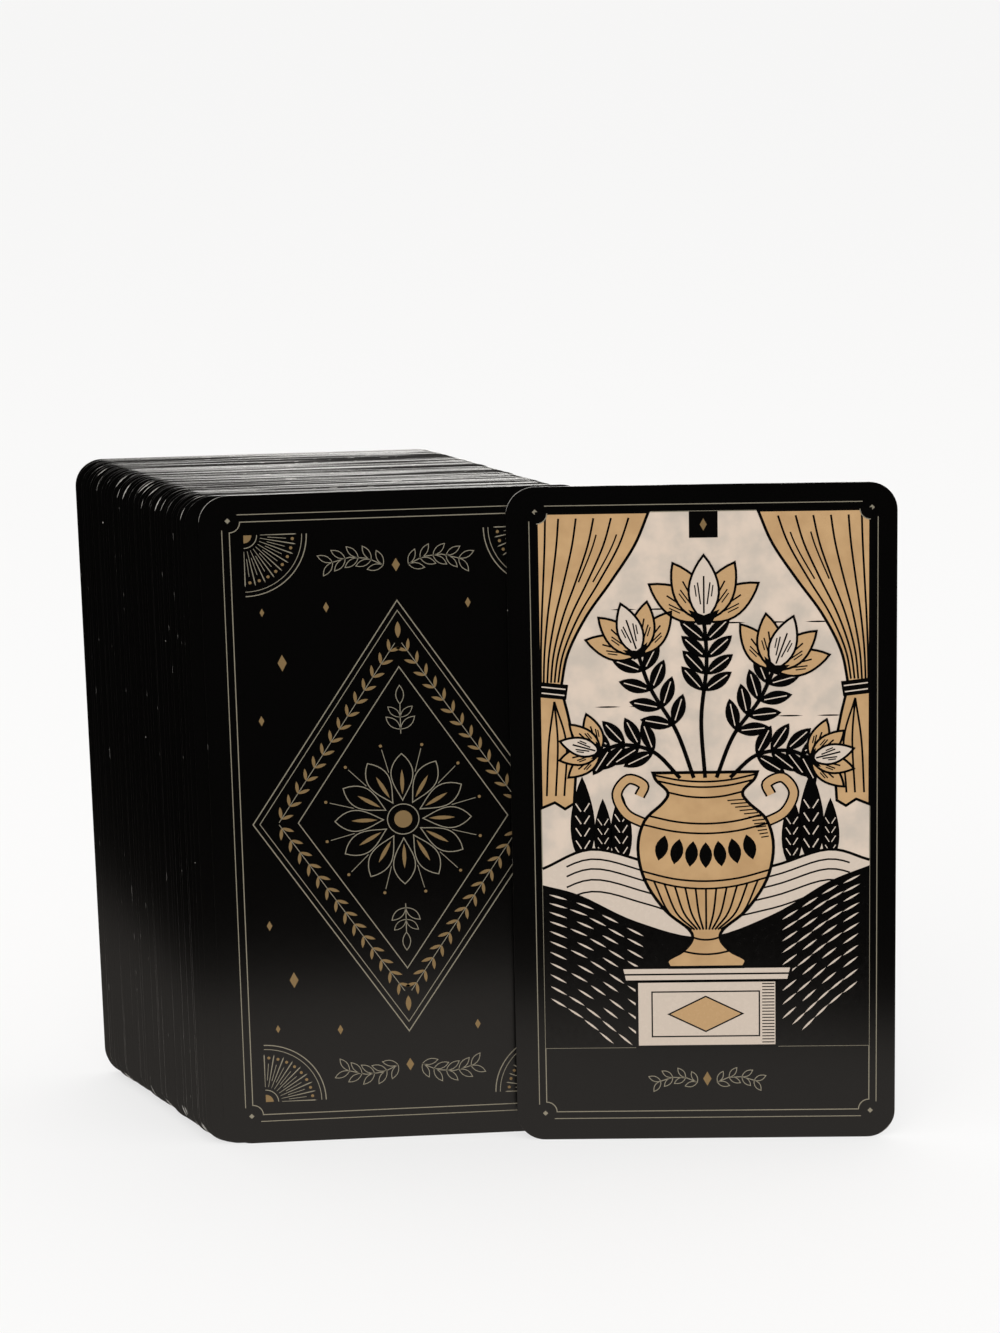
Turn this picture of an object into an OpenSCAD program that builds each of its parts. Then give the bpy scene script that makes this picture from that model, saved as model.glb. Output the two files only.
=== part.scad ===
// Tarot card deck: a pack of cards stood on its short edges, skewed to the left towards the rear,
// and one card that leans back on the front of the pack at its right side.
// The origin is on the table, under the middle of the whole group. +X is to the viewer's right,
// +Y is away from the viewer and +Z is up. Sizes are in millimetres.

/* [Card] */
// Width of a card, its short edge
card_w = 68; // [55:0.5:80]
// Height of a card, which stands on its short edge
card_h = 120; // [90:0.5:145]
// Thickness of the coated board
card_t = 0.41; // [0.3:0.01:0.6]
// Radius of the die-cut corners
corner_r = 5; // [2:0.25:10]

/* [Deck] */
// Number of cards that stand in the deck
deck_cards = 77; // [20:1:77]
// Air between two cards of one packet
card_gap = 0.045; // [0.01:0.005:0.1]
// How far the front card has slipped to the right, off the card behind it
front_slip = 2.8; // [0:0.1:8]
// How far the rearmost card stands to the left of the second one
deck_skew = 20.9; // [0:0.1:40]
// How far single cards stray to either side of the line of the deck
card_stray = 0.5; // [0:0.05:1.5]
// Number of packets that the deck has settled into
packets = 10; // [2:1:14]
// How uneven the packets are, as a share of an even packet
packet_uneven = 0.28; // [0:0.02:0.4]
// Largest turn of a packet about the vertical, in degrees
packet_turn = 0.4; // [0:0.05:0.6]

/* [Leaning card] */
// Lean of the card back onto the deck, in degrees
lean_angle = 1.6; // [0.4:0.1:8]
// Turn of the card about the vertical, its right side towards the viewer, in degrees
lean_turn = 5.1; // [0:0.1:12]
// How far the card reaches across the front card of the deck
lean_overlap = 15; // [6:0.5:40]
// Air between the card's upper corner and the deck
lean_gap = 0.15; // [0.05:0.05:0.5]

/* [Hidden] */
$fn = 64;
board_colour = "#17140f";
face_colour = "#2a2118";

// Cards share nodes in twos, from the rear, once the deck has more cards than these nodes
deck_node_limit = 59;
pairs = ceil(max(0, deck_cards - deck_node_limit));
singles = deck_cards - 2 * pairs;

// Steps in degrees that scatter the cards and packets without a pattern
stray_step = 97;
uneven_step = 150;
turn_step = 155;

pitch = card_t + card_gap;

// Sideways place of a card, counted from 0 at the front
function deck_x(i) =
    i == 0 ? 0
    : -front_slip - deck_skew * (i - 1) / (deck_cards - 2) + card_stray * sin(stray_step * i);

// Number of the first card of a packet
function packet_start(p) =
    p <= 0 ? 0
    : p >= packets ? deck_cards
    : round(deck_cards / packets * (p + packet_uneven * sin(uneven_step * p)));

function packet_angle(p) = packet_turn * sin(turn_step * p);

function turned(v, angle) =
    [v.x * cos(angle) - v.y * sin(angle), v.x * sin(angle) + v.y * cos(angle)];

// Middle of the rear face of a packet's last card, for a packet whose front face is centred at a point
function packet_rear(p, at) =
    let (first = packet_start(p), last = max(first, packet_start(p + 1) - 1))
    at + turned([deck_x(last) - deck_x(first), (last - first) * pitch + card_t], packet_angle(p));

// Middle of the next packet's front face. The packets meet along one edge and gape along the other.
function packet_next(p, at) =
    let (rear = packet_rear(p, at), x = deck_x(packet_start(p + 1)),
         slope = tan(packet_angle(p)), next_slope = tan(packet_angle(p + 1)))
    [x, rear.y + (x - rear.x) * slope + card_w / 2 * abs(next_slope - slope) + card_gap];

packet_places = [for (p = 0, at = [deck_x(0), 0]; p < packets; at = packet_next(p, at), p = p + 1) at];

function packet_of(i) = max([for (p = [0 : packets - 1]) if (packet_start(p) <= i) p]);

// Middle of a card's front face, seen from above
function card_place(i) =
    let (p = packet_of(i), first = packet_start(p))
    packet_places[p] + turned([deck_x(i) - deck_x(first), (i - first) * pitch], packet_angle(p));

// How far a card's rounded outline reaches from the middle of its foot, across and upwards
function outline_reach(across, upwards) =
    (card_w / 2 - corner_r) * abs(across)
    + (upwards > 0 ? card_h - corner_r : corner_r) * upwards
    + corner_r * norm([across, upwards]);

// The leaning card's upper left corner meets the front card of the deck
lean_up = sin(lean_angle);
lean_x = deck_x(0) + card_w / 2 - lean_overlap + card_w / 2 * cos(lean_turn);
lean_y = -lean_gap - outline_reach(sin(lean_turn), lean_up * cos(lean_turn))
    - card_t * cos(lean_angle) * cos(lean_turn);
lean_z = card_t * lean_up;

// Corners of the whole group, seen from above
deck_corners = [
    for (i = [0 : deck_cards - 1], u = [-card_w / 2, card_w / 2], v = [0, card_t])
    card_place(i) + turned([u, v], packet_angle(packet_of(i)))
];
lean_right = lean_x + outline_reach(cos(lean_turn), lean_up * sin(lean_turn))
    + card_t * cos(lean_angle) * sin(lean_turn);
lean_front = lean_y - outline_reach(sin(lean_turn), -lean_up * cos(lean_turn));
left = min([for (c = deck_corners) c.x]);
right = max(lean_right, max([for (c = deck_corners) c.x]));
rear = max([for (c = deck_corners) c.y]);
group_middle = [(left + right) / 2, (lean_front + rear) / 2, 0];

function two_digits(n) = n < 10 ? str("0", n) : str(n);
function card_name(i) = str("card_", two_digits(i + 1));
function pair_name(i) = str("cards_", two_digits(i + 1), "_", two_digits(i + 2));
// Numbers of the first and last card of each node of the deck
deck_groups = [
    for (i = [0 : singles - 1]) [i, i],
    for (k = [0 : 1 : pairs - 1]) [singles + 2 * k, singles + 2 * k + 1]
];
deck_names = [for (g = deck_groups) g[0] == g[1] ? card_name(g[0]) : pair_name(g[0])];

// What a die cuts away at one corner, with the corner's point at the origin
module corner_waste() {
    difference() {
        square(corner_r);
        translate([corner_r, corner_r]) circle(corner_r);
    }
}

// Outline of a card, standing on the middle of its short edge
module card_outline() {
    difference() {
        translate([-card_w / 2, 0]) square([card_w, card_h]);
        for (side = [0, 1], end = [0, 1])
            mirror([side, 0]) translate([-card_w / 2, end * card_h]) mirror([0, end]) corner_waste();
    }
}

// One card, upright, with its front face over the X axis
module card() {
    translate([0, card_t, 0]) rotate([90, 0, 0]) linear_extrude(card_t) card_outline();
}

module deck_card(i) {
    color(board_colour)
        translate(card_place(i)) rotate(packet_angle(packet_of(i))) card();
}

module leaning_card() {
    color(face_colour)
        translate([lean_x, lean_y, lean_z]) rotate(-lean_turn) rotate([-lean_angle, 0, 0]) card();
}

translate(-group_middle) leaning_card();
for (k = [0 : len(deck_groups) - 1])
    translate(-group_middle)
            for (i = [deck_groups[k][0] : deck_groups[k][1]]) deck_card(i);
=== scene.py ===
import math
import random

import bpy
import numpy as np
from mathutils import Matrix, Vector


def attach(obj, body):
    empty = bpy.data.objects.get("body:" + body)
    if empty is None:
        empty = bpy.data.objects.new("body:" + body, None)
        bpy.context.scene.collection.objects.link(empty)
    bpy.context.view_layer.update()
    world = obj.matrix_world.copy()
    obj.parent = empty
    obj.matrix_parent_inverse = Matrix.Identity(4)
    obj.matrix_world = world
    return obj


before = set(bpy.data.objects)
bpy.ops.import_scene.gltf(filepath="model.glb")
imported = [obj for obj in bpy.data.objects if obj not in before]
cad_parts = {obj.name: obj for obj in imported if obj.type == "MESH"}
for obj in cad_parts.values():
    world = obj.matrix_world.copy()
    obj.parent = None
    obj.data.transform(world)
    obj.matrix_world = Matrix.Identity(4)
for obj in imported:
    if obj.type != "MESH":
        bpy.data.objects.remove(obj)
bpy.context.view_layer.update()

# Table and light
# The table is a plain pale board in an even pale room. In the gloss of the cards it is white close about
# them and the room beyond is dim. One soft panel hangs overhead, one stands high at the front left, and
# one behind shows only in gloss and gives the top edges their sheen.

scene = bpy.context.scene
table_reach = 6.0
table_colour = (0.93, 0.928, 0.925, 1.0)

table_mesh = bpy.data.meshes.new("table")
table_mesh.from_pydata(
    [(-table_reach, -table_reach, 0), (table_reach, -table_reach, 0),
     (table_reach, table_reach, 0), (-table_reach, table_reach, 0)],
    [], [(0, 1, 2, 3)])
table = bpy.data.objects.new("table", table_mesh)
scene.collection.objects.link(table)


class Value:
    """A socket in a material, so that maths on it is written as an expression."""

    def __init__(self, tree, socket):
        self.tree = tree
        self.socket = socket

    def maths(self, operation, *others):
        return add_node(self.tree, "ShaderNodeMath", {"operation": operation},
                        dict(enumerate((self,) + others)))

    def __add__(self, other):
        return self.maths("ADD", other)

    def __sub__(self, other):
        return self.maths("SUBTRACT", other)

    def __rsub__(self, other):
        return add_node(self.tree, "ShaderNodeMath", {"operation": "SUBTRACT"}, {0: other, 1: self})

    def __mul__(self, other):
        return self.maths("MULTIPLY", other)

    def __abs__(self):
        return self.maths("ABSOLUTE")

    __radd__ = __add__
    __rmul__ = __mul__

    def step(self, low, high):
        """0 below low and 1 above high, with a smooth change between them."""
        return add_node(self.tree, "ShaderNodeMapRange", {"interpolation_type": "SMOOTHSTEP"},
                        {"Value": self, "From Min": low, "From Max": high})


def add_node(tree, kind, settings, sockets, output=0):
    """A new node with its settings and its sockets' values or links, as the Value of one output."""
    made = tree.nodes.new(kind)
    for name, setting in settings.items():
        setattr(made, name, setting)
    for name, value in sockets.items():
        if isinstance(value, Value):
            tree.links.new(value.socket, made.inputs[name])
        else:
            made.inputs[name].default_value = value
    return Value(tree, made.outputs[output]) if made.outputs else None


def new_material(name):
    """A material with an empty tree, and that tree."""
    material = bpy.data.materials.new(name)
    material.use_nodes = True
    material.node_tree.nodes.clear()
    return material, material.node_tree


def finish_material(tree, surface):
    """The output of a material, which shows the surface."""
    add_node(tree, "ShaderNodeOutputMaterial", {}, {"Surface": surface})


seen_white = 0.65
white_reach = 0.08
white_end = 0.115
white_oval = (0.6, 1.0, 1.0)
gloss_tint = (1.0, 0.92, 0.84, 1.0)
table_in_gloss = 0.95
room_in_gloss = 0.03

table_paint, tree = new_material("pale_table")
place = add_node(tree, "ShaderNodeTexCoord", {}, {}, "Object")
oval = add_node(tree, "ShaderNodeVectorMath", {"operation": "MULTIPLY"}, {0: place, 1: white_oval})
distance = add_node(tree, "ShaderNodeVectorMath", {"operation": "LENGTH"}, {0: oval}, "Value")
seen, mirrored, through = [add_node(tree, "ShaderNodeLightPath", {}, {}, way)
                           for way in ("Is Camera Ray", "Is Glossy Ray", "Is Transmission Ray")]
lit = add_node(tree, "ShaderNodeBsdfDiffuse", {}, {"Color": table_colour}, "BSDF")
white = add_node(tree, "ShaderNodeEmission", {}, {"Color": (1.0, 1.0, 1.0, 1.0)}, "Emission")
near, far = [add_node(tree, "ShaderNodeEmission", {}, {"Color": gloss_tint, "Strength": level}, "Emission")
             for level in (table_in_gloss, room_in_gloss)]
pale = add_node(tree, "ShaderNodeMixShader", {}, {0: (seen + through) * seen_white, 1: lit, 2: white})
gloss = add_node(tree, "ShaderNodeMixShader", {},
                 {0: distance.step(white_reach, white_end), 1: near, 2: far})
finish_material(tree, add_node(tree, "ShaderNodeMixShader", {}, {0: mirrored, 1: pale, 2: gloss}))
table_mesh.materials.append(table_paint)

room_colour = (1.0, 0.99, 0.98, 1.0)
room_light = 0.84
room_seen = 0.95

world = bpy.data.worlds.new("studio")
scene.world = world
world.use_nodes = True
tree = world.node_tree
tree.nodes.clear()
seen, mirrored = [add_node(tree, "ShaderNodeLightPath", {}, {}, way)
                  for way in ("Is Camera Ray", "Is Glossy Ray")]
strength = room_light + (room_seen - room_light) * seen - (room_light - room_in_gloss) * mirrored
room = add_node(tree, "ShaderNodeBackground", {},
                {"Color": room_colour, "Strength": strength}, "Background")
add_node(tree, "ShaderNodeOutputWorld", {}, {"Surface": room})

lamp_tint = (1.0, 0.98, 0.94)


def soft_panel(name, place, aim, width, height, power, gloss_only=False):
    """A rectangular soft lamp at a place, which faces a point. A gloss-only one shows just in
    reflections."""
    lamp = bpy.data.lights.new(name, "AREA")
    lamp.color = lamp_tint
    lamp.shape = "RECTANGLE"
    lamp.size = width
    lamp.size_y = height
    lamp.energy = power
    holder = bpy.data.objects.new(name, lamp)
    holder.location = place
    holder.rotation_euler = (Vector(aim) - Vector(place)).to_track_quat("-Z", "Y").to_euler()
    holder.visible_diffuse = not gloss_only
    scene.collection.objects.link(holder)


soft_panel("overhead_panel", (0.1, -0.1, 1.0), (0, 0, 0), 0.8, 0.8, 1.3)
soft_panel("front_panel", (-0.45, -0.95, 0.9), (0, 0, 0.06), 0.6, 0.6, 2.6)
soft_panel("rear_panel", (0.42, 1.0, 0.45), (0, 0, 0.1), 1.2, 0.6, 8.6, gloss_only=True)

# Camera
# It stands where the photo was taken from, about half a metre in front and a little above the cards,
# and looks slightly down with a longer lens.

camera_place = (-0.02814, -0.54698, 0.22991)
camera_pitch = 12.966
camera_yaw = 3.395
camera_roll = -1.225
focal_px = 3137.4
frame_px = (1000, 1333)
axis_px = (500, 560)

camera_data = bpy.data.cameras.new("photo_camera")
camera_data.sensor_width = 36.0
camera_data.lens = focal_px / frame_px[1] * camera_data.sensor_width
camera_data.shift_y = (axis_px[1] - frame_px[1] / 2) / frame_px[1]
camera_data.clip_start = 0.01
camera = bpy.data.objects.new("photo_camera", camera_data)
camera.matrix_world = (
    Matrix.Translation(camera_place)
    @ Matrix.Rotation(math.radians(-camera_yaw), 4, "Z")
    @ Matrix.Rotation(math.radians(90 - camera_pitch), 4, "X")
    @ Matrix.Rotation(math.radians(camera_roll), 4, "Z"))
scene.collection.objects.link(camera)
scene.camera = camera
scene.view_settings.view_transform = "Standard"

# Card boards
# Each card is a die-cut piece of coated black board, 0.41 mm thick, with a satin film on both sides.
# Its cut edges are matt with polished streaks and a few pale specks of wear; at the upper corners pale arcs
# are a painted highlight.

board_black = (0.0012, 0.00105, 0.00095, 1.0)
edge_black = (0.013, 0.0105, 0.0095, 1.0)
# The pale of the worn specks, and of the painted highlight at the upper corners
pale_wear_and_highlight = (0.55, 0.53, 0.50, 1.0)
film_roughness = 0.16
film_specular = 0.33
cut_roughness = 0.8
polish = 0.55
polish_roughness = 0.36
polish_index = 1.6
grain_strength = 0.04
grain_depth = 0.0001
edge_round = 0.00006
edge_angle = math.radians(40)
same_point = 1e-6


def noise(tree, scale, detail, stretch=(1.0, 1.0, 1.0)):
    """Noise from 0 to 1 in a material, drawn out along the axes whose stretch is small."""
    place = add_node(tree, "ShaderNodeTexCoord", {}, {}, "Object")
    drawn_out = add_node(tree, "ShaderNodeMapping", {}, {"Vector": place, "Scale": stretch})
    return add_node(tree, "ShaderNodeTexNoise", {},
                    {"Vector": drawn_out, "Scale": scale, "Detail": detail})


def mixed(tree, share, first, second):
    """A colour that goes from the first to the second with the share."""
    return add_node(tree, "ShaderNodeMix", {"data_type": "RGBA"},
                    {"Factor": share, 6: first, 7: second}, 2)


board, tree = new_material("coated_black_board")
normal = add_node(tree, "ShaderNodeTexCoord", {}, {}, "Normal")
across, away, upward = [add_node(tree, "ShaderNodeSeparateXYZ", {}, {0: normal}, axis) for axis in "XYZ"]
cut_edge = 1 - abs(away).step(0.35, 0.75)
rim = abs(away).step(0.25, 0.5) * (1 - abs(away).step(0.85, 0.97))
corner = (abs(across) * upward).step(0.08, 0.3)
grain = noise(tree, 900.0, 3.0)
smears = noise(tree, 45.0, 4.0)
each_card = noise(tree, 1500.0, 1.0, (0.006, 1.0, 0.006))
fibres = noise(tree, 4200.0, 2.0, (0.06, 1.0, 0.06))
streaks = noise(tree, 900.0, 2.0, (0.016, 1.0, 0.016)).step(0.46, 0.52)
specks = noise(tree, 2600.0, 2.0)
rubs = noise(tree, 520.0, 2.0, (0.5, 3.0, 0.5))
# Pale arcs on the rims at the upper corners of some cards: a painted highlight
painted_rim_highlight = rim * corner * rubs.step(0.46, 0.58) * each_card.step(0.47, 0.52)
# Pale on the cut edges: a painted highlight at the upper corners, and specks of wear elsewhere
cut_wear_and_highlight = cut_edge * (corner * rubs.step(0.62, 0.68) * 0.8 + rubs.step(0.685, 0.715))
dark = mixed(tree, cut_edge * (0.4 + 1.2 * fibres), board_black, edge_black)
finish_material(tree, add_node(tree, "ShaderNodeBsdfPrincipled", {}, {
    "Base Color": mixed(tree, painted_rim_highlight + cut_wear_and_highlight, dark, pale_wear_and_highlight),
    "Roughness": (film_roughness + 0.08 * smears + 0.04 * grain
                  + cut_edge * (cut_roughness - polish * streaks)),
    "Specular IOR Level": film_specular,
    "Coat Weight": cut_edge * streaks * (0.15 + 0.85 * each_card.step(0.42, 0.52)
                                         + (fibres - 0.5) * 0.6 + (specks - 0.5) * 1.4),
    "Coat Roughness": polish_roughness,
    "Coat IOR": polish_index,
    "Normal": add_node(tree, "ShaderNodeBump", {},
                       {"Strength": grain_strength, "Distance": grain_depth, "Height": grain}),
}, "BSDF"))

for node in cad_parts.values():
    node.data.materials.clear()
    node.data.materials.append(board)
    weld = node.modifiers.new("closed", "WELD")
    weld.merge_threshold = same_point
    soften = node.modifiers.new("rounded_cut", "BEVEL")
    soften.width = edge_round
    soften.segments = 2
    soften.limit_method = "ANGLE"
    soften.angle_limit = edge_angle

# Gold foil on the card backs
# Every back carries the same pattern of fine lines in gold foil, hot-pressed onto the black film.
# The foil is a few thousandths of a millimetre thick, so each line is a thin closed strip on its card.

mm = 0.001
layer_height = 4e-6
layer_start = 1e-6
foil_gold = (0.275, 0.18, 0.078, 1.0)
# The thin lines are the same foil, given a paler gold as a painted sheen for the light that fine lines
# catch
thin_line_painted_sheen_gold = (0.31, 0.28, 0.21, 1.0)
handled_sheen = 0.2
inks = {}


def add_ink(name, shade, metallic, specular, roughness):
    """A fresh ink or foil for the cards inside the deck, and a worn one, whose sheen is uneven from
    handling, for the cards that show."""
    for wear in ("fresh", "worn"):
        ink, tree = new_material(wear + "_" + name)
        sheen = roughness
        if wear == "worn":
            sheen = roughness - handled_sheen / 2 + handled_sheen * noise(tree, 1100.0, 3.0)
        finish_material(tree, add_node(tree, "ShaderNodeBsdfPrincipled", {}, {
            "Base Color": shade, "Metallic": metallic, "Specular IOR Level": specular,
            "Roughness": sheen}, "BSDF"))
        inks[wear, name] = ink


add_ink("gold", foil_gold, 0.25, 0.3, 0.4)
# The pale gold of the thin lines carries that painted sheen
add_ink("pale_gold", thin_line_painted_sheen_gold, 0.25, 0.3, 0.4)


def unit(rows):
    """Rows of vectors, each brought to the length 1."""
    return rows / np.linalg.norm(rows, axis=1)[:, None]


class Print:
    """Foil and ink on one side of a card, in millimetres from its middle, with heights in layers."""

    def __init__(self):
        self.points = []
        self.faces = []
        self.inks = []

    def add(self, points, faces, ink):
        first = len(self.points)
        self.points.extend(points)
        self.faces.extend([tuple(first + i for i in face) for face in faces])
        self.inks.extend([ink] * len(faces))
        return self

    def area(self, outline, ink, layer=0):
        """A filled shape, one layer thick."""
        turns = sum(a[0] * b[1] - b[0] * a[1] for a, b in zip(outline, outline[1:] + outline[:1]))
        ring = outline if turns > 0 else outline[::-1]
        count = len(ring)
        points = [(x, y, layer) for x, y in ring] + [(x, y, layer + 1) for x, y in ring]
        faces = [tuple(range(count))[::-1], tuple(range(count, 2 * count))]
        for i in range(count):
            j = (i + 1) % count
            faces.append((i, j, count + j, count + i))
        return self.add(points, faces, ink)

    def line(self, path, width, ink, layer=0, closed=False):
        """A strip of even width along a path, with mitred bends."""
        spots = np.array(path, float)
        before = np.roll(spots, 1, 0)
        after = np.roll(spots, -1, 0)
        if not closed:
            before[0] = 2 * spots[0] - spots[1]
            after[-1] = 2 * spots[-1] - spots[-2]
        go = unit(after - spots)
        along = unit(unit(spots - before) + go)
        mitre = 1 / np.clip((along * go).sum(1), 0.4, 1)
        side = np.stack([-along[:, 1], along[:, 0]], 1) * (mitre * width / 2)[:, None]
        points = []
        for left, right in zip(spots + side, spots - side):
            points += [(*left, layer), (*right, layer), (*left, layer + 1), (*right, layer + 1)]
        count = len(spots)
        faces = []
        for i in range(count if closed else count - 1):
            a = 4 * i
            b = 4 * ((i + 1) % count)
            faces += [(a + 3, b + 3, b + 2, a + 2), (a, b, b + 1, a + 1),
                      (a + 2, b + 2, b, a), (b + 3, a + 3, a + 1, b + 1)]
        if not closed:
            last = 4 * (count - 1)
            faces += [(2, 0, 1, 3), (last + 3, last + 1, last, last + 2)]
        return self.add(points, faces, ink)

    def lay(self, other, shift=(0, 0), turn=0.0, size=1.0, flip=False):
        """A copy of another print, flipped left to right if asked, scaled, turned in degrees and
        shifted."""
        c = math.cos(math.radians(turn)) * size
        s = math.sin(math.radians(turn)) * size
        way = -1 if flip else 1
        first = len(self.points)
        for x, y, z in other.points:
            x *= way
            self.points.append((shift[0] + c * x - s * y, shift[1] + s * x + c * y, z))
        for face in other.faces:
            self.faces.append(tuple(first + i for i in face[::way]))
        self.inks.extend(other.inks)
        return self


def print_mesh(name, points, faces, face_inks, wear):
    """A mesh of printed shapes with a material for each ink that they use."""
    made = bpy.data.meshes.new(name)
    made.from_pydata(points, [], faces)
    used = sorted(set(face_inks))
    for ink in used:
        made.materials.append(inks[wear, ink])
    numbers = {ink: i for i, ink in enumerate(used)}
    made.polygons.foreach_set("material_index", [numbers[ink] for ink in face_inks])
    return made


def printed_piece(name, body, sides, wear):
    """One piece of foil and ink on a body: a print for each side of a card that it lies on."""
    points, faces, face_inks = [], [], []
    for sheet, place in sides:
        flat = np.reshape(sheet.points, (-1, 3)) * (mm, mm, layer_height) + (0, 0, layer_start)
        set_on = flat @ np.array(place.to_3x3()).T + np.array(place.translation)
        first = len(points)
        points.extend(set_on.tolist())
        faces.extend([tuple(first + i for i in face) for face in sheet.faces])
        face_inks.extend(sheet.inks)
    piece = bpy.data.objects.new(name, print_mesh(name, points, faces, face_inks, wear))
    scene.collection.objects.link(piece)
    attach(piece, body)


def motif_tree():
    """Nodes that set a motif at even steps along a path, facing along it or out from the middle."""
    group = bpy.data.node_groups.new("motifs_along_a_path", "GeometryNodeTree")
    for name, kind in (("Path", "Geometry"), ("Motif", "Object"), ("Count", "Int"),
                       ("Outward", "Float"), ("Turn", "Float"), ("Ink", "Material")):
        group.interface.new_socket(name=name, in_out="INPUT", socket_type="NodeSocket" + kind)
    group.interface.new_socket(name="Print", in_out="OUTPUT", socket_type="NodeSocketGeometry")
    given = group.nodes.new("NodeGroupInput")

    def asked(name):
        return Value(group, given.outputs[name])

    curve = add_node(group, "GeometryNodeMeshToCurve", {}, {"Mesh": asked("Path")})
    stops = add_node(group, "GeometryNodeResampleCurve", {"mode": "COUNT"},
                     {"Curve": curve, "Count": asked("Count")})
    heading = add_node(group, "ShaderNodeMix", {"data_type": "VECTOR"}, {
        "Factor": asked("Outward"),
        4: add_node(group, "GeometryNodeInputTangent", {}, {}),
        5: add_node(group, "GeometryNodeInputPosition", {}, {})}, 1)
    aimed = add_node(group, "FunctionNodeAlignRotationToVector", {"axis": "X", "pivot_axis": "Z"},
                     {"Vector": heading})
    angles = add_node(group, "ShaderNodeCombineXYZ", {}, {"Z": asked("Turn")})
    turn = add_node(group, "FunctionNodeEulerToRotation", {}, {"Euler": angles})
    turned = add_node(group, "FunctionNodeRotateRotation", {"rotation_space": "LOCAL"},
                      {"Rotation": aimed, "Rotate By": turn})
    motif = add_node(group, "GeometryNodeObjectInfo", {}, {"Object": asked("Motif")}, "Geometry")
    copies = add_node(group, "GeometryNodeInstanceOnPoints", {},
                      {"Points": stops, "Instance": motif, "Rotation": turned})
    solid = add_node(group, "GeometryNodeRealizeInstances", {}, {"Geometry": copies})
    inked = add_node(group, "GeometryNodeSetMaterial", {}, {"Geometry": solid, "Material": asked("Ink")})
    result = group.nodes.new("NodeGroupOutput")
    group.links.new(inked.socket, result.inputs["Print"])
    return group


motifs_along = motif_tree()


def repeat(motif, path, count, ink, closed=False, outward=0.0, turn=0.0):
    """The motif, set count times along a path by Geometry Nodes, as one print in one ink."""
    steps = [(i, i + 1) for i in range(len(path) - 1)]
    if closed:
        steps.append((len(path) - 1, 0))
    track = bpy.data.meshes.new("track")
    track.from_pydata([(x, y, 0) for x, y in path], steps, [])
    sample_mesh = print_mesh("sample", motif.points, motif.faces, motif.inks, "fresh")
    sample = bpy.data.objects.new("sample", sample_mesh)
    carrier = bpy.data.objects.new("carrier", track)
    scene.collection.objects.link(sample)
    scene.collection.objects.link(carrier)
    setter = carrier.modifiers.new("motifs", "NODES")
    setter.node_group = motifs_along
    wanted = {"Motif": sample, "Count": count, "Outward": outward,
              "Turn": math.radians(turn), "Ink": inks["fresh", ink]}
    for socket in motifs_along.interface.items_tree:
        if socket.name in wanted:
            setter[socket.identifier] = wanted[socket.name]
    bpy.context.view_layer.update()
    graph = bpy.context.evaluated_depsgraph_get()
    made = bpy.data.meshes.new_from_object(carrier.evaluated_get(graph), depsgraph=graph)
    carrier.modifiers.remove(setter)
    row = Print().add([tuple(v.co) for v in made.vertices], [tuple(p.vertices) for p in made.polygons], ink)
    for piece in (sample, carrier):
        data = piece.data
        bpy.data.objects.remove(piece)
        bpy.data.meshes.remove(data)
    bpy.data.meshes.remove(made)
    return row


def ring_of(motif, radius, count, ink, steps=48):
    """The motif set evenly round a circle, facing out."""
    return repeat(motif, circle(radius, steps), count, ink, closed=True, outward=1.0)


def leafy(stem, width, blade, count, ink, lean, layer=0):
    """A stem with leaves on both sides of it."""
    twig = Print().line(stem, width, ink, layer)
    for turn in (lean, -lean):
        twig.lay(repeat(blade, stem, count, ink, turn=turn))
    return twig


def arc(centre, radius, start, end, steps):
    """Points along an arc, by angles in degrees."""
    angles = [math.radians(start + (end - start) * i / steps) for i in range(steps + 1)]
    return [(centre[0] + radius * math.cos(a), centre[1] + radius * math.sin(a)) for a in angles]


def circle(radius, steps, centre=(0, 0)):
    """Points round a circle."""
    return arc(centre, radius, 0, 360, steps)[:-1]


def lozenge(half_width, half_height, centre=(0, 0)):
    """The four points of a lozenge."""
    x, y = centre
    return [(x + half_width, y), (x, y + half_height), (x - half_width, y), (x, y - half_height)]


def leaf(length, width, steps, tip=1.0):
    """A pointed leaf that grows along x from the origin."""
    stops = [i / steps for i in range(steps + 1)]
    edge = [(length * t, width / 2 * math.sin(math.pi * t ** tip) ** 0.85) for t in stops[1:-1]]
    return [(0, 0)] + [(x, -y) for x, y in edge] + [(length, 0)] + edge[::-1]


outer_line = 0.15
inner_line = 0.17
frame_step = 1.3
line_stop = 2.7
notch_radius = 1.85
notch_steps = 7
notch_mark = 0.48
notch_mark_step = 0.25


def notched(centre, half_width, half_height, radius):
    """A rectangle whose corners are bitten out by quarter circles."""
    cx, cy = centre
    path = []
    for sx, sy, start in ((-1, -1, 90), (1, -1, 180), (1, 1, 270), (-1, 1, 360)):
        path += arc((cx + sx * half_width, cy + sy * half_height), radius, start, start - 90, notch_steps)
    return path


def frame_lines(sheet, centre, half_width, half_height, layer=0):
    """The double line round a card: an outer line that stops short of its corners, an inner one with
    notched corners, and a small lozenge in each notch."""
    cx, cy = centre
    inner_width = half_width - frame_step
    inner_height = half_height - frame_step
    for way in (-1, 1):
        x = cx + way * half_width
        y = cy + way * half_height
        sheet.line([(x, cy - half_height + line_stop), (x, cy + half_height - line_stop)],
                   outer_line, "pale_gold", layer)
        sheet.line([(cx - half_width + line_stop, y), (cx + half_width - line_stop, y)],
                   outer_line, "pale_gold", layer)
        for end in (-1, 1):
            spot = (cx + way * (inner_width + notch_mark_step), cy + end * (inner_height + notch_mark_step))
            sheet.area(lozenge(notch_mark, notch_mark, spot), "pale_gold", layer)
    inner = notched(centre, inner_width, inner_height, notch_radius)
    sheet.line(inner, inner_line, "pale_gold", layer, closed=True)


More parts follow.
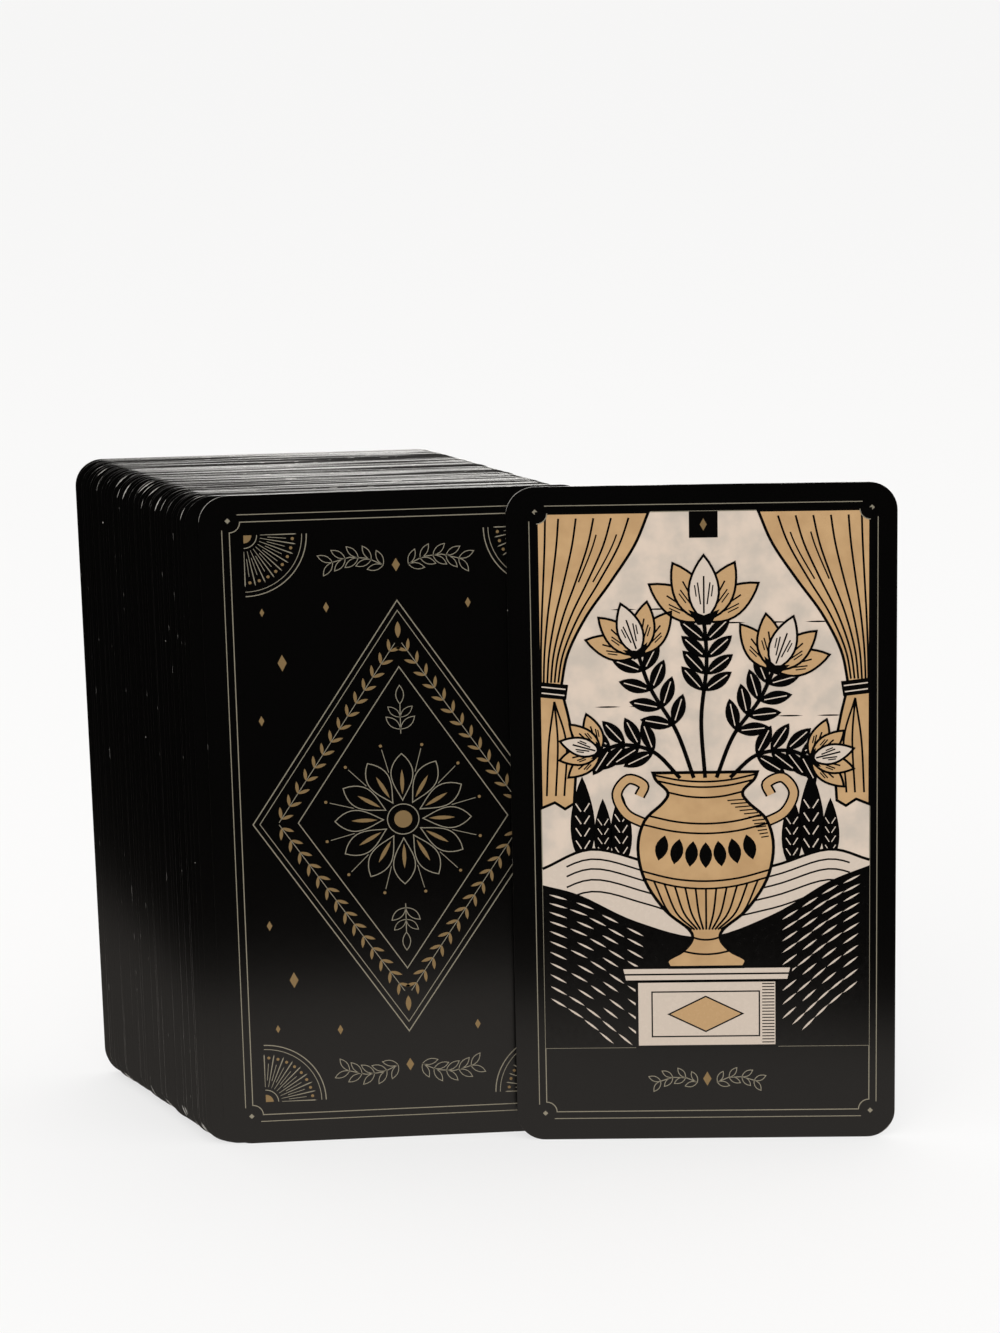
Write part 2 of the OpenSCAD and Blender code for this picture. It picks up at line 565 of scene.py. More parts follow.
back_half_width = 30.0
back_half_height = 56.2
back_centre = (0.0, 0.4)
fan_inset = 2.4
fan_sweep = (180, 270)
between_rays = (185.6, 264.4)
fan_rays = 9
garland_leaves = 14
petals = 12
between_petals = 15
bead = Print().area(circle(0.3, 6), "gold")


def corner_fan(fine):
    """The fan in the corner of a back: rays and beads between arcs."""
    ray = Print().area([(0, -0.04), (5.9, -0.1), (6.3, 0), (5.9, 0.1), (0, 0.04)], "pale_gold")
    short_ray = Print().line([(0, 0), (3.2, 0)], 0.1, "pale_gold")
    fan = Print()
    fan.lay(repeat(ray, arc((0, 0), 2.9, *fan_sweep, 16), fan_rays, "pale_gold", outward=1.0))
    fan.lay(repeat(short_ray, arc((0, 0), 4.2, *between_rays, 16), fan_rays - 1, "pale_gold", outward=1.0))
    fan.lay(repeat(bead, arc((0, 0), 8.5, *between_rays, 16), fan_rays - 1, "gold"))
    for radius, steps, width in ((2.3, 3, 0.15), (10.1, 6, 0.12), (10.9, 6, 0.18)):
        fan.line(arc((0, 0), radius, *fan_sweep, steps * fine), width, "pale_gold")
    return fan.area([(0, 0)] + arc((0, 0), 1.4, *fan_sweep, 2 * fine), "gold")


def quarter_back(fine):
    """A quarter of a back: its fan, one side of the garland, a twig and small lozenges."""
    quarter = Print()
    hub = (back_half_width - frame_step - fan_inset, back_half_height - frame_step - fan_inset)
    quarter.lay(corner_fan(fine), hub)
    garland = Print().area(leaf(2.3, 0.62, 6), "gold")
    for turn in (38, -38):
        quarter.lay(repeat(garland, [(21.6, 0.8), (1.6, 30.8)], garland_leaves, "gold", turn=turn))
    quarter.line([(22.0, 0.2), (0.6, 32.3)], 0.13, "pale_gold")
    stem = [(2.2, 46.4), (4.8, 47.7), (8.0, 48.0), (11.0, 47.2)]
    blade = Print().line(leaf(2.9, 1.1, 5), 0.13, "pale_gold", closed=True)
    quarter.lay(leafy(stem, 0.15, blade, 5, "pale_gold", 40))
    for x, y, size in ((20.4, 29.4, 1.0), (24.4, 19.0, 0.62), (12.4, 39.2, 0.62), (23.6, 38.6, 0.5)):
        quarter.area(lozenge(0.8 * size, 1.5 * size, (x, y)), "gold")
    return quarter


def rosette(fine):
    """The flower in the middle of a back, with spokes and beads between its petals."""
    petal = Print().line(leaf(8.6, 3.9, 2 * fine, 1.25), 0.17, "pale_gold", closed=True)
    heart = Print().area(leaf(4.6, 0.7, 5), "gold")
    spoke = Print().line([(0, 0), (4.4, 0)], 0.12, "pale_gold")
    flower = Print()
    flower.lay(ring_of(petal, 3.5, petals, "pale_gold"))
    flower.lay(ring_of(heart, 4.6, petals, "gold"))
    flower.lay(ring_of(spoke, 9.0, petals, "pale_gold"), turn=between_petals)
    flower.lay(ring_of(bead, 14.1, petals, "gold"), turn=between_petals)
    flower.line(circle(2.8, 6 * fine), 0.17, "pale_gold", closed=True)
    return flower.area(circle(1.6, 4 * fine), "gold")


def upper_tuft(fine):
    """The tuft over the flower, with the leaf and the lozenge above it."""
    bud = Print().line(leaf(3.4, 1.4, fine), 0.14, "pale_gold", closed=True)
    tuft = Print().line([(0, 15.8), (0, 21.2)], 0.15, "pale_gold")
    tuft.lay(bud, (0, 21.2), 90)
    for height, length in ((16.6, 1.0), (18.8, 0.85)):
        for lean in (42, 138):
            tuft.lay(bud, (0, height), lean, length)
    tuft.lay(Print().area(leaf(3.0, 1.0, fine), "gold"), (0, 36.2), 270)
    return tuft.area(lozenge(0.7, 1.2, (0, 46.4)), "gold")


def card_back(fine):
    """The pattern on a back, with arcs in more steps on the cards that show most."""
    quarter = quarter_back(fine)
    tuft = upper_tuft(fine)
    pattern = Print()
    for way in (False, True):
        for end in (0, 180):
            pattern.lay(quarter, turn=end, flip=way)
    for half_width, half_height, width in ((26.6, 40.0, 0.2), (25.4, 38.2, 0.14), (18.6, 28.0, 0.18)):
        pattern.line(lozenge(half_width, half_height), width, "pale_gold", closed=True)
    pattern.lay(rosette(fine))
    for end in (0, 180):
        pattern.lay(tuft, turn=end)
    sheet = Print()
    frame_lines(sheet, back_centre, back_half_width, back_half_height)
    return sheet.lay(pattern, back_centre)


card_half_width = 34.0
card_half_height = 60.0
card_corner = 5.0
mark_inset = 0.015
mark_least = 0.02
mark_steps = 9
# The pale of film rubbed off to the fibre, used also for painted highlights on corner edges
add_ink("bare_fibre", (0.5, 0.48, 0.45, 1.0), 0.0, 0.1, 0.8)


def pale_corner_crescent(sheet, across, upward, start, end, width):
    """A thin pale crescent at a corner, by angles within the corner. Among the handling marks it is film
    rubbed off the edge; set at an upper left corner on its own it is a painted highlight.
    """
    centre = (across * (card_half_width - card_corner), upward * (card_half_height - card_corner))
    radius = card_corner - mark_inset
    outer = []
    inner = []
    for i in range(mark_steps + 1):
        angle = math.radians(start + (end - start) * i / mark_steps)
        uneven = 0.75 + 0.25 * math.sin(2.3 * i + start)
        depth = mark_least + width * math.sin(math.pi * i / mark_steps) * uneven
        for path, reach in ((outer, radius), (inner, radius - depth)):
            path.append((centre[0] + across * reach * math.cos(angle),
                         centre[1] + upward * reach * math.sin(angle)))
    sheet.area(outer + inner[::-1], "bare_fibre")


def nick(sheet, across, height, width, length):
    """A small chip in the film at a long edge."""
    x = across * (card_half_width - mark_inset)
    sheet.area([(x, height), (x - across * width, height + length * 0.4), (x, height + length)],
               "bare_fibre")


def handling_marks(chance, amount):
    """Rubbed corners and nicks on one side of a card, drawn from a seeded chance."""
    marks = Print()
    for across in (-1, 1):
        for upward in (-1, 1):
            start = chance.uniform(5, 45)
            end = start + chance.uniform(18, 42)
            width = chance.uniform(0.05, 0.24)
            if chance.random() < amount:
                pale_corner_crescent(marks, across, upward, start, end, width)
        height = chance.uniform(-45, 54)
        size = chance.uniform(0.08, 0.2)
        if chance.random() < amount:
            nick(marks, across, height, size, 2.2 * size)
    return marks


flat_enough = 0.9
plane_step = 0.0001


def card_sides(node):
    """For each card of a node, from front to rear, the matrices that set a print on its front and rear."""
    mesh = node.data
    spots = np.array([v.co for v in mesh.vertices])
    sides = []
    for way in (-1, 1):
        planes = {}
        for face in mesh.polygons:
            if face.normal.y * way > flat_enough:
                depth = round(face.normal.dot(face.center) / plane_step)
                planes.setdefault(depth, []).append(face)
        merged = []
        for depth in sorted(planes):
            if merged and depth - merged[-1][0] <= 1:
                merged[-1][1].extend(planes[depth])
            else:
                merged.append((depth, list(planes[depth])))
        found = []
        for depth, faces in merged:
            out = sum((f.normal * f.area for f in faces), Vector()).normalized()
            right = (-out).cross(Vector((0, 0, 1))).normalized()
            up = right.cross(-out)
            corners = spots[sorted({i for f in faces for i in f.vertices})]
            middle = Vector()
            for axis in (right, up, out):
                reach = corners @ np.array(axis)
                middle += axis * float((reach.min() + reach.max()) / 2)
            turn = Matrix((right, up, out)).transposed().to_4x4()
            found.append((middle.y, Matrix.Translation(middle) @ turn))
        sides.append([place for _, place in sorted(found, key=lambda pair: pair[0])])
    return list(zip(*sides))


# Printed faces of the deck's cards
# The faces are printed in cream, tan and black inks inside the same gold lines. Each shows its suit's
# emblem as often as its rank, the court cards one large emblem and the cards above them a rosette.

face_centre = (0.33, 0.3)
face_half_width = 30.3
face_half_height = 56.3
panel_half_width = face_half_width - frame_step
panel_half_height = face_half_height - frame_step
panel_low = -42.6
panel_top = face_centre[1] + panel_half_height
panel_middle = 6.0
title_middle = (panel_low + face_centre[1] - panel_half_height) / 2
tab_half_width = 2.5
tab_height = 4.7

add_ink("cream", (0.66, 0.56, 0.47, 1.0), 0.0, 0.3, 0.26)
add_ink("tan", (0.54, 0.34, 0.165, 1.0), 0.0, 0.3, 0.26)
add_ink("black", (0.0016, 0.0014, 0.0013, 1.0), 0.0, 0.3, 0.24)


def small_ornament():
    """The lozenge between two twigs that stands on the title panel."""
    ornament = Print().area(lozenge(0.75, 1.35), "gold", 1)
    stem = [(1.8, -0.7), (3.8, 0.2), (6.2, 0.3), (8.4, -0.4)]
    blade = Print().line(leaf(2.3, 0.95, 5), 0.14, "pale_gold", 1, closed=True)
    branch = leafy(stem, 0.16, blade, 4, "pale_gold", 40, 1)
    for way in (False, True):
        ornament.lay(branch, flip=way)
    return ornament


title_ornament = small_ornament()


def panel_notch(way):
    """The arc that bites out the panel's upper corner, on the left for -1 and on the right for 1."""
    start = 270 if way > 0 else 360
    corner = (face_centre[0] + way * panel_half_width, panel_top)
    return arc(corner, notch_radius, start, start - 90, notch_steps)


def cream_panel():
    """The cream ground of a face, with a notch at each upper corner."""
    foot = [(face_centre[0] + way * panel_half_width, panel_low) for way in (-1, 1)]
    return Print().area(foot + panel_notch(1) + panel_notch(-1), "cream")


def upright(left, low, right, high):
    """The corners of an upright rectangle."""
    return [(left, low), (right, low), (right, high), (left, high)]


def both_sides(half):
    """An outline whose left half mirrors the right."""
    return half + [(-x, y) for x, y in half[::-1]]


def face_frame(sheet):
    """The gold lines, the black tab and the title panel's ornament of a face."""
    cx = face_centre[0]
    tab = upright(cx - tab_half_width, panel_top - tab_height, cx + tab_half_width, panel_top)
    sheet.area(tab, "black", 3)
    frame_lines(sheet, face_centre, face_half_width, face_half_height, 1)
    sheet.line([(cx - panel_half_width, panel_low), (cx + panel_half_width, panel_low)],
               inner_line, "pale_gold", 1)
    sheet.lay(title_ornament, (cx, title_middle))
    sheet.area(lozenge(0.6, 1.1, (cx, panel_top - tab_height / 2)), "gold", 4)


heavy_pen = 0.5
pen = 0.36
light_pen = 0.28
hair_pen = 0.22


def outlined(sheet, outline, ink, layer, width=light_pen):
    """A shape in one ink with a black line round it."""
    sheet.area(outline, ink, layer)
    sheet.line(outline, width, "black", layer + 1, closed=True)


def cup():
    """A footed cup with two lines round its bowl."""
    half = [(3.0, -5), (3.1, -4.3), (1.0, -3.4), (0.7, -1.6), (2.0, -0.6), (3.3, 1.2),
            (3.8, 3.4), (3.9, 4.8)]
    emblem = Print()
    outlined(emblem, both_sides(half), "tan", 1)
    emblem.line([(-3.7, 3.2), (-1.5, 2.7), (1.5, 2.7), (3.7, 3.2)], light_pen, "black", 2)
    emblem.line([(-3.0, 0.9), (-1.2, 0.4), (1.2, 0.4), (3.0, 0.9)], light_pen, "black", 2)
    return emblem


def baton():
    """A straight staff with four leaves."""
    emblem = Print()
    outlined(emblem, [(-0.7, -5), (0.7, -5), (0.6, 4.2), (1.1, 4.9), (-1.1, 4.9), (-0.6, 4.2)], "tan", 1)
    for way in (-1, 1):
        blade = Print().area([(x * way, y) for x, y in leaf(3.0, 1.4, 5)], "black", 1)
        for height in (-1.2, 1.8):
            emblem.lay(blade, (way * 0.6, height), way * 38)
    return emblem


def sword():
    """An upright blade with a guard, a grip and a round pommel."""
    emblem = Print()
    outlined(emblem, [(-0.65, -2.2), (0.65, -2.2), (0.5, 4.0), (0, 5.2), (-0.5, 4.0)], "tan", 1)
    emblem.area([(-2.4, -2.7), (2.4, -2.7), (2.7, -2.0), (-2.7, -2.0)], "black", 1)
    emblem.area(upright(-0.4, -4.4, 0.4, -2.6), "black", 1)
    emblem.area(circle(0.75, 10, (0, -4.7)), "black", 2)
    emblem.line([(0, -1.8), (0, 3.8)], hair_pen, "black", 2)
    return emblem


def disc():
    """A coin with a flower of six leaves."""
    emblem = Print()
    outlined(emblem, circle(3.9, 24), "tan", 1)
    emblem.line(circle(3.1, 20), hair_pen, "black", 2, closed=True)
    return emblem.lay(ring_of(Print().area(leaf(2.1, 1.0, 4), "black", 2), 0.5, 6, "black", 24))


suits = [cup(), baton(), sword(), disc()]
border_step = 2.2
border_notch = 4.0
border_line = 0.24
border_leaf_step = 0.2


def inner_border(sheet):
    """A thin black line inside the panel, with a leaf in each corner."""
    cx = face_centre[0]
    low = panel_low + border_step
    high = panel_top - border_step
    reach = panel_half_width - border_step
    border = notched((cx, (low + high) / 2), reach, (high - low) / 2, border_notch)
    sheet.line(border, border_line, "black", 1, closed=True)
    blade = Print().area(leaf(3.4, 1.5, 6), "black", 1)
    foot = low + border_leaf_step
    head = high - border_leaf_step
    for way, y, turn in ((-1, foot, 45), (1, foot, 135), (1, head, 225), (-1, head, 315)):
        sheet.lay(blade, (cx + way * (reach - border_leaf_step), y), turn)


def framed_face():
    """A face with its ground, its gold lines and the border inside them."""
    sheet = cream_panel()
    face_frame(sheet)
    inner_border(sheet)
    return sheet


def wreath(sheet, centre, radius, leaves, count):
    """A ring with leaves on both sides of it."""
    for turn in (58, 122):
        sheet.lay(repeat(leaves, circle(radius, 72), count, "black", closed=True, turn=turn), centre)
    sheet.line(circle(radius, 60, centre), heavy_pen, "black", 1, closed=True)


bay_leaf = Print().area(leaf(5.2, 2.1, 6), "black", 1)
sprig_stem = [(3.0, 0.0), (7.5, 1.6), (11.5, 4.6), (14.5, 9.0)]
swag_stem = [(-17.0, 5.4), (-9.0, 1.4), (0.0, 0.0), (9.0, 1.4), (17.0, 5.4)]
sprig = leafy(sprig_stem, heavy_pen, bay_leaf, 5, "black", 45, 1)
swag = leafy(swag_stem, heavy_pen, bay_leaf, 9, "black", 45, 1)


def pair_of_sprigs(sheet, height, turn):
    """A lozenge between two sprigs that rise from it, or hang when they are turned over."""
    outlined(sheet, lozenge(1.7, 2.6, (face_centre[0], height)), "tan", 1, pen)
    for way in (False, True):
        sheet.lay(sprig, (face_centre[0], height), turn, flip=way)


emblem_rows = 76.0
emblem_room = 14
emblem_largest = 2.3
emblem_column = 14.5


def suit_face(emblem, rank):
    """A face with the suit's emblem once for each point of its rank, in two columns and the middle."""
    if rank == 1:
        return court_face(emblem, 0)
    sheet = framed_face()
    cx = face_centre[0]
    rows = rank // 2
    size = min(emblem_largest, emblem_rows / rows / emblem_room)
    for row in range(rows):
        height = panel_middle + emblem_rows * ((row + 0.5) / rows - 0.5)
        for way in (-1, 1):
            sheet.lay(emblem, (cx + way * emblem_column, height), size=size)
    if rank % 2:
        sheet.lay(emblem, (cx, panel_middle), size=size)
    return sheet


court_lift = 4
court_emblem = 3.0
court_sprigs = 34
swag_height = -35.2
rank_height = -26
rank_step = 6


def court_face(emblem, rank):
    """A face with one large emblem in a wreath over a swag, and a lozenge for each step of its rank."""
    sheet = framed_face()
    cx = face_centre[0]
    centre = (cx, panel_middle + court_lift)
    wreath(sheet, centre, 21, Print().area(leaf(6.4, 2.3, 6), "black", 1), 26)
    sheet.lay(emblem, centre, size=court_emblem)
    pair_of_sprigs(sheet, panel_middle + court_sprigs, 0)
    sheet.lay(swag, (cx, swag_height))
    for step in range(rank):
        x = cx + (step - (rank - 1) / 2) * rank_step
        outlined(sheet, lozenge(1.9, 2.8, (x, rank_height)), "tan", 1)
    return sheet


rosette_sprigs = 32


def rosette_face(count):
    """A face with a rosette of that many petals in a wreath, and a sprig in each corner."""
    sheet = framed_face()
    centre = (face_centre[0], panel_middle)
    shape = leaf(15, min(5.2, 62.0 / count), 8, 1.2)
    heart = leaf(7, min(2.0, 20.0 / count), 6)
    for motif, ink in ((Print().area(shape, "tan", 1), "tan"), (Print().area(heart, "black", 2), "black"),
                       (Print().line(shape, pen, "black", 2, closed=True), "black")):
        sheet.lay(ring_of(motif, 5.2, count, ink, 72), centre)
    outlined(sheet, circle(4.6, 24, centre), "cream", 1, 0.4)
    sheet.area(circle(2.0, 16, centre), "black", 2)
    wreath(sheet, centre, 22.6, Print().area(leaf(4.6, 1.7, 6), "black", 1), 36)
    pair_of_sprigs(sheet, panel_middle + rosette_sprigs, 0)
    pair_of_sprigs(sheet, panel_middle - rosette_sprigs, 180)
    return sheet


deck_cards = 77
shuffle_step = 31
shuffle_start = 64
suit_cards = 40
court_cards = 16
fewest_petals = 5


def deck_face(number):
    """The face of the card with that number, counted from the front of the shuffled deck."""
    place = (number * shuffle_step + shuffle_start) % deck_cards
    if place < suit_cards:
        return suit_face(suits[place % 4], place // 4 + 1)
    if place < suit_cards + court_cards:
        return court_face(suits[place % 4], (place - suit_cards) // 4 + 1)
    return rosette_face(fewest_petals + place - suit_cards - court_cards)


front_back = card_back(6)
deck_back = card_back(3)
chance = random.Random(20)
deck_wear = 0.3
number = 0
for name, node in sorted(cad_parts.items()):
    if name == "leaning_card":
        continue
    sides = []
    shows = False
    for front, rear in card_sides(node):
        number += 1
        shows = shows or number in (1, deck_cards)
        marks = handling_marks(chance, deck_wear)
        # The front card's pale crescent at its upper left corner is a painted highlight on the edge there
        if number == 1:
            pale_corner_crescent(marks, -1, 1, 6, 82, 0.06)
        sides.append((front_back if number == 1 else deck_back, front))
        sides.append((marks, front))
        sides.append((deck_face(number), rear))
        sides.append((handling_marks(chance, deck_wear), rear))
    printed_piece("print_" + name, name, sides, "worn" if shows else "fresh")

# Printed face of the leaning card
# It is printed like the deck's faces, with a fuller picture in fine black lines on cream and tan:
# a fluted urn of branches on a pedestal, between tied-back drapes, over dark ploughed fields.


def drawn(points, steps=6):
    """A smooth path through points."""
    spots = [np.array(p, float) for p in points]
    spots = [2 * spots[0] - spots[1]] + spots + [2 * spots[-1] - spots[-2]]
    path = []
    for a, b, c, d in zip(spots, spots[1:], spots[2:], spots[3:]):
        for i in range(steps):
            t = i / steps
            path.append(tuple(0.5 * (2 * b + (c - a) * t + (2 * a - 5 * b + 4 * c - d) * t ** 2
                                     + (3 * b - a - 3 * c + d) * t ** 3)))
    return path + [tuple(spots[-2])]


def mottled_ink(name, darker, lighter):
    """An ink for the large areas, which has dried a little unevenly."""
    ink, tree = new_material("mottled_" + name)
    patches = noise(tree, 220.0, 4.0).step(0.3, 0.7)
    finish_material(tree, add_node(tree, "ShaderNodeBsdfPrincipled", {}, {
        "Base Color": mixed(tree, patches, darker, lighter), "Roughness": 0.26,
        "Specular IOR Level": 0.3}, "BSDF"))
    inks["mottled", name] = ink


mottled_ink("cream", (0.585, 0.51, 0.435, 1.0), (0.735, 0.61, 0.505, 1.0))
mottled_ink("tan", (0.50, 0.31, 0.148, 1.0), (0.58, 0.37, 0.182, 1.0))

ground = cream_panel()
picture = Print()
face_frame(picture)
middle = face_centre[0]
panel_left = middle - panel_half_width
panel_right = middle + panel_half_width

sky_layer = 1
far_layer = 3
near_layer = 5
drape_layer = 7
handle_layer = 9
urn_layer = 11
branch_layer = 13
blossom_layer = 15

# Sky lines and far trees
cloud_dash = Print().area(leaf(4.6, 0.3, 4), "black", sky_layer)
for height, left, right, count in ((38, -16, -4, 3), (35.4, 3, 18, 3), (20.5, -19, -13, 2),
                                   (18.5, 13, 20, 2)):
    picture.lay(repeat(cloud_dash, [(left, height), (right, height)], count, "black"))
cypress = Print().area([(x, y) for y, x in leaf(17, 4.6, 10, 0.8)], "black", sky_layer)
for lift in (3.0, 5.4, 7.8, 10.2):
    for way in (-1, 1):
        cypress.line([(way * 0.3, lift), (way * 1.3, lift + 1.6)], hair_pen, "cream", sky_layer + 1)
for x, y, size in ((-21.4, -8.2, 0.95), (-17.8, -8.4, 0.72), (-14.6, -9.0, 0.84),
                   (15.6, -9.4, 0.8), (19.0, -8.6, 1.0), (22.4, -8.4, 0.7)):
    picture.lay(cypress, (x, y), size=size)


def hill(crest):
    """The ground below a crest, down to the foot of the panel."""
    return crest + [(crest[-1][0], panel_low), (crest[0][0], panel_low)]


# Fields, the near one dark with pale furrows
far_crest = drawn([(panel_left, -9), (-20, -5.5), (-10, -8), (0, -11), (12, -9), (22, -6),
                   (panel_right, -8)])
near_crest = drawn([(panel_left, -12), (-22, -14), (-12, -19), (0, -22), (12, -18), (22, -12),
                    (panel_right, -9)])
picture.area(hill(far_crest), "cream", far_layer)
picture.line(far_crest, heavy_pen, "black", far_layer + 1)
for drop in (1.8, 3.6, 5.6, 7.8):
    picture.line([(x, y - drop) for x, y in far_crest[3:-3]], 0.32, "black", far_layer + 1)
picture.area(hill(near_crest), "black", near_layer)
furrow_dash = Print().area(leaf(3.4, 0.36, 4), "cream", near_layer + 1)
furrow_rows = 11
furrow_low = panel_low + 2.4
furrow_start = 12
furrow_ends = ((-1, panel_half_width - 1.2), (1, panel_right - 4.2))
for row in range(furrow_rows):
    drop = 2.2 + 2.3 * row + 0.06 * row * row
    furrow = [(x, y - drop * (1 - 0.012 * abs(x))) for x, y in near_crest]
    for way, end in furrow_ends:
        half = [(x, y) for x, y in furrow if y > furrow_low and furrow_start < way * x < end]
        if len(half) > 3:
            picture.lay(repeat(furrow_dash, half, 4 + row % 2, "cream"))

# Drapes, drawn to the sides and tied
wall = -panel_half_width
drape_edge = drawn([(-9.5, panel_top), (-12, 49.4), (-16.2, 43), (-20.6, 36.8), (-23.9, 30.2), (-25.2, 24)])
tail_edge = drawn([(-25.2, 24), (-23.8, 18), (-22.8, 11), (-23.2, 3)])
cloth = drape_edge + tail_edge[1:] + [(-24.8, 2.0), (-26.6, 3.2), (wall, 2.2), (wall, panel_top)]
side = Print().line(cloth, heavy_pen, "black", drape_layer + 1, closed=True)
for share in (0.16, 0.32, 0.48, 0.64, 0.8, 0.92):
    fold = [(x + (wall - x) * share * (1 if y > 25 else 0.6), y) for x, y in drape_edge[1:-1]]
    side.line(fold, pen, "black", drape_layer + 1)
for share in (0.2, 0.42):
    short_fold = [(x + (wall - x) * share * 0.9 - 0.8, y) for x, y in drape_edge[4:13]]
    side.line(short_fold, light_pen, "black", drape_layer + 1)
for foot in (-28.0, -26.4, -24.9):
    side.line(drawn([(-26.4, 21.6), (foot + 0.5, 14), (foot, 4.4)]), pen, "black", drape_layer + 1)
side.area([(wall, 22.4), (-24.3, 21.9), (-23.9, 24.6), (wall, 25.2)], "black", drape_layer + 2)
side.line([(wall + 0.4, 24.3), (-24.4, 23.8)], hair_pen, "cream", drape_layer + 3)
side.line([(wall + 0.4, 23.2), (-24.6, 22.7)], hair_pen, "cream", drape_layer + 3)
for way in (False, True):
    ground.lay(Print().area(cloth, "tan", drape_layer), (middle, 0), flip=way)
    picture.lay(side, (middle, 0), flip=way)
for way in (-1, 1):
    notch = panel_notch(way)
    picture.area([(middle + way * panel_half_width, panel_top)] + notch, "black", drape_layer + 2)
    picture.line(notch, inner_line, "pale_gold", drape_layer + 3)

# Pedestal
block_top = -30.2
cap_top = -27.6
stand = Print()
outlined(stand, upright(-12.5, panel_low + 0.1, 12.5, block_top), "cream", drape_layer, heavy_pen)
outlined(stand, [(-14.6, block_top), (14.6, block_top), (15.2, cap_top), (-15.2, cap_top)],
         "cream", drape_layer, heavy_pen)
stand.line([(-14.9, -28.9), (14.9, -28.9)], 0.32, "black", drape_layer + 1)
stand.line(upright(-9.8, panel_low + 2, 9.4, -32.2), 0.26, "black", drape_layer + 1, closed=True)
outlined(stand, lozenge(6.6, 3.3, (-0.2, -36.4)), "tan", drape_layer + 1)
stroke = Print().line([(0, 0), (2.2, 0)], 0.2, "black", drape_layer + 1)
stand.lay(repeat(stroke, [(9.9, panel_low + 0.8), (9.9, -30.8)], 20, "black", turn=-90))
picture.lay(stand, (middle, 0))

# Urn
profile = drawn([(6.6, cap_top), (6.9, -26.2), (4.2, -24.6), (2.5, -22.4), (3.2, -20.4), (7.2, -17.0),
                 (10.8, -11.4), (12.0, -5.4), (10.8, -0.4), (7.6, 2.8), (6.6, 4.8), (8.6, 7.0),
                 (9.2, 8.4)], 5)
handle = drawn([(10.4, -1.0), (14.0, 1.0), (15.6, 4.6), (13.6, 7.3), (10.9, 6.2), (11.6, 4.2)])
vessel = both_sides(profile)
ground.lay(Print().area(vessel, "tan", urn_layer), (middle, 0))
urn = Print()
for way in (-1, 1):
    loop = [(way * x, y) for x, y in handle]
    urn.line(loop, 2.0, "black", handle_layer)
    urn.line(loop, 1.3, "tan", handle_layer + 1)
urn.line(vessel, 0.56, "black", urn_layer + 1, closed=True)

# Lines round the urn, which sag as level rings do when they are seen from above
for height, half, sag in ((8.0, 9.0, 1.3), (6.9, 8.3, 1.2), (4.8, 6.5, 1.0), (0.6, 10.2, 1.6),
                          (-1.0, 11.2, 1.8), (-9.6, 11.4, 2.0), (-11.0, 10.9, 2.0), (-24.6, 4.1, 0.6),
                          (-22.0, 2.5, 0.5)):
    girdle = [(-half, height), (-half * 0.5, height - sag * 0.75), (0, height - sag),
              (half * 0.5, height - sag * 0.75), (half, height)]
    urn.line(drawn(girdle, 4), pen, "black", urn_layer + 1)

# Flutes, a row of leaves and shading on the urn
for spread in range(-5, 6):
    share = spread / 5.6
    flute = [(share * 10.4, -12.9 + 1.9 * share * share), (share * 7.4, -17.4), (share * 2.9, -20.6)]
    urn.line(drawn(flute, 5), pen, "black", urn_layer + 1)
belly_leaf = Print().area(leaf(4.8, 2.3, 6), "black", urn_layer + 1)
belly = [(-8.4, -7.7), (-4.2, -8.8), (0, -9.2), (4.2, -8.8), (8.4, -7.7)]
urn.lay(repeat(belly_leaf, belly, 7, "black", turn=90))
for hatch in range(12):
    height = 3.2 - hatch * 0.62
    reach = np.interp(height, [-5.4, -0.4, 2.8, 4.8], [11.9, 10.7, 7.5, 6.5])
    urn.line([(reach - 3.4 + 0.16 * hatch, height), (reach - 0.3, height + 0.2)],
             0.24, "black", urn_layer + 1)
picture.lay(urn, (middle, 0))

# Branches and blossoms
upright_petal = 90


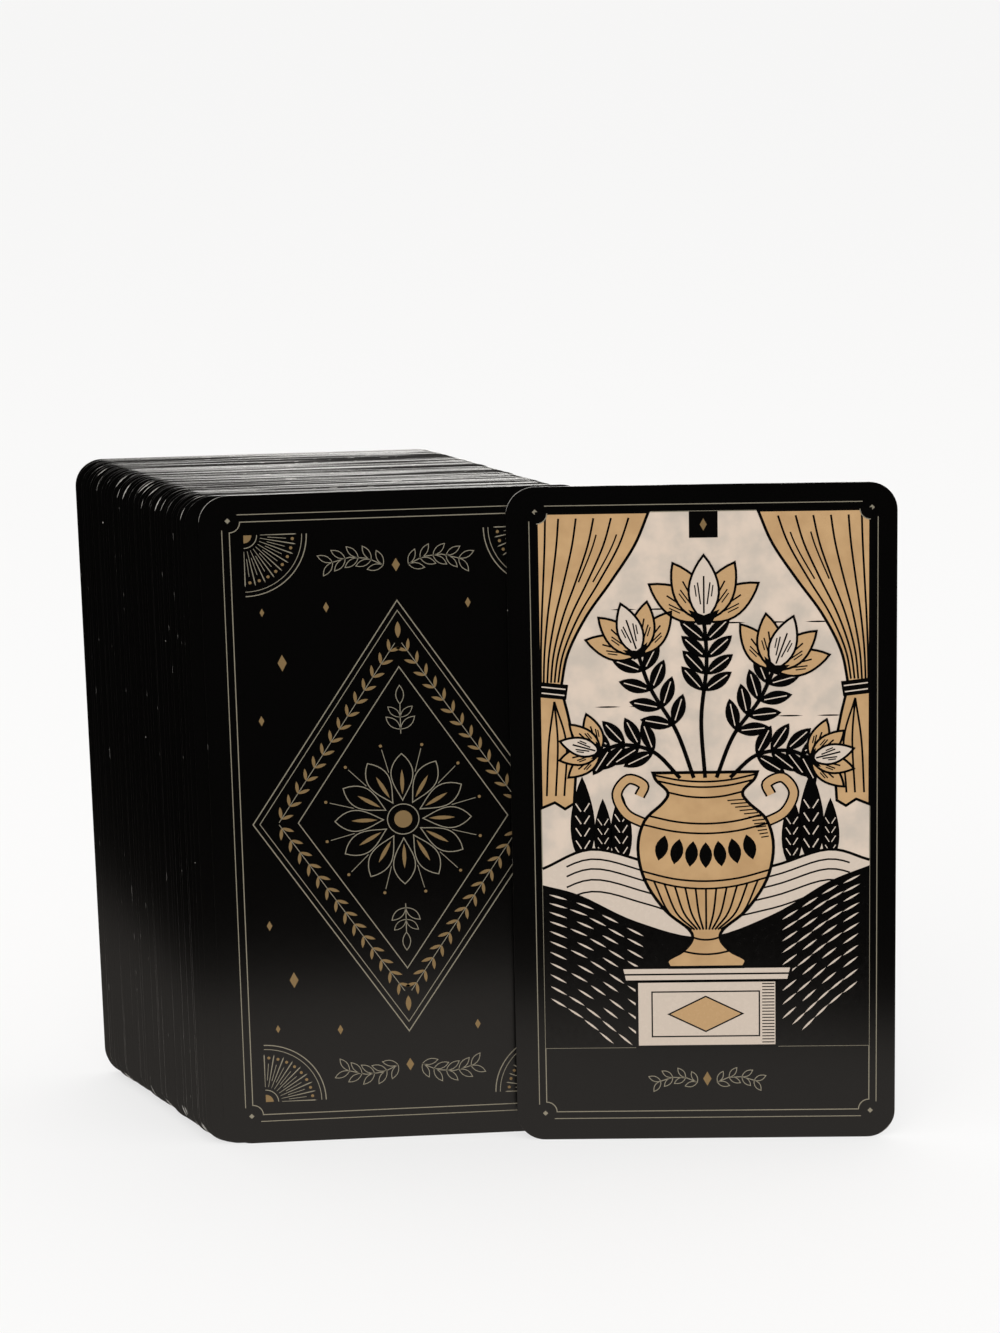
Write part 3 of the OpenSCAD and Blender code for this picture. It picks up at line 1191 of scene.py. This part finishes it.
def blossom(size):
    """A flower of five pointed petals, seen from the side, that opens upwards."""
    flower = Print()
    shape = leaf(10, 4.6, 10, 0.85)
    for lift, lean in ((0, 34), (0, 146), (2, 62), (2, 118), (4, upright_petal)):
        layer = blossom_layer + lift
        petal = Print()
        outlined(petal, shape, "cream" if lean == upright_petal else "tan", layer, 0.42 / size)
        petal.line([(1, 0), (6.8, 0)], 0.3 / size, "black", layer + 1)
        for way in (-1, 1):
            petal.line([(2.4, way * 0.5), (5.8, way * 0.95)], 0.25 / size, "black", layer + 1)
            petal.line([(3.6, way * 1.15), (5.4, way * 1.4)], 0.22 / size, "black", layer + 1)
        flower.lay(petal, turn=lean)
    calyx = [(-2.4, 1.6), (-1.0, -0.8), (1.0, -0.8), (2.4, 1.6), (0, 0.7)]
    return flower.area(calyx, "black", blossom_layer + 6)


stems = [
    ([(0, 7.4), (-0.6, 18), (0.4, 28), (0, 36)], 90, 1.15, 12),
    ([(-2, 7.4), (-5, 16), (-9.4, 23.6), (-11.6, 30)], 108, 0.95, 9),
    ([(2, 7.4), (5, 15), (9.6, 21.4), (12.2, 27)], 70, 1.0, 9),
    ([(-4.4, 7.4), (-9, 12.2), (-14.4, 13.6), (-18.6, 12.4)], 164, 0.72, 8),
    ([(4.4, 7.4), (9, 11.4), (14.6, 12.2), (18.8, 10.6)], 14, 0.76, 8),
]
blade = Print().area(leaf(6.0, 2.5, 8), "black", branch_layer)
vein = Print().line([(1.0, 0), (5.0, 0)], 0.18, "cream", branch_layer + 1)
for points, lean, size, bare in stems:
    stem = [(middle + x, y) for x, y in drawn(points, 8)]
    picture.line(stem, 0.7, "black", branch_layer)
    for turn in (48, -48):
        picture.lay(repeat(blade, stem[bare:-4], 4, "black", turn=turn))
        picture.lay(repeat(vein, stem[bare:-4], 4, "cream", turn=turn))
    picture.lay(blossom(size), stem[-1], lean - upright_petal, size)

leaning_wear = 0.5
front, rear = card_sides(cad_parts["leaning_card"])[0]
marks = Print()
# The pale crescent at the upper left corner is a painted highlight on the card's edge
pale_corner_crescent(marks, -1, 1, 8, 84, 0.05)
pale_corner_crescent(marks, 1, -1, 20, 66, 0.12)
nick(marks, -1, 38.0, 0.1, 0.3)
printed_piece("print_leaning_ground", "leaning_card", [(ground, front)], "mottled")
printed_piece("print_leaning_card", "leaning_card",
              [(picture, front), (marks, front), (front_back, rear),
               (handling_marks(chance, leaning_wear), rear)], "worn")
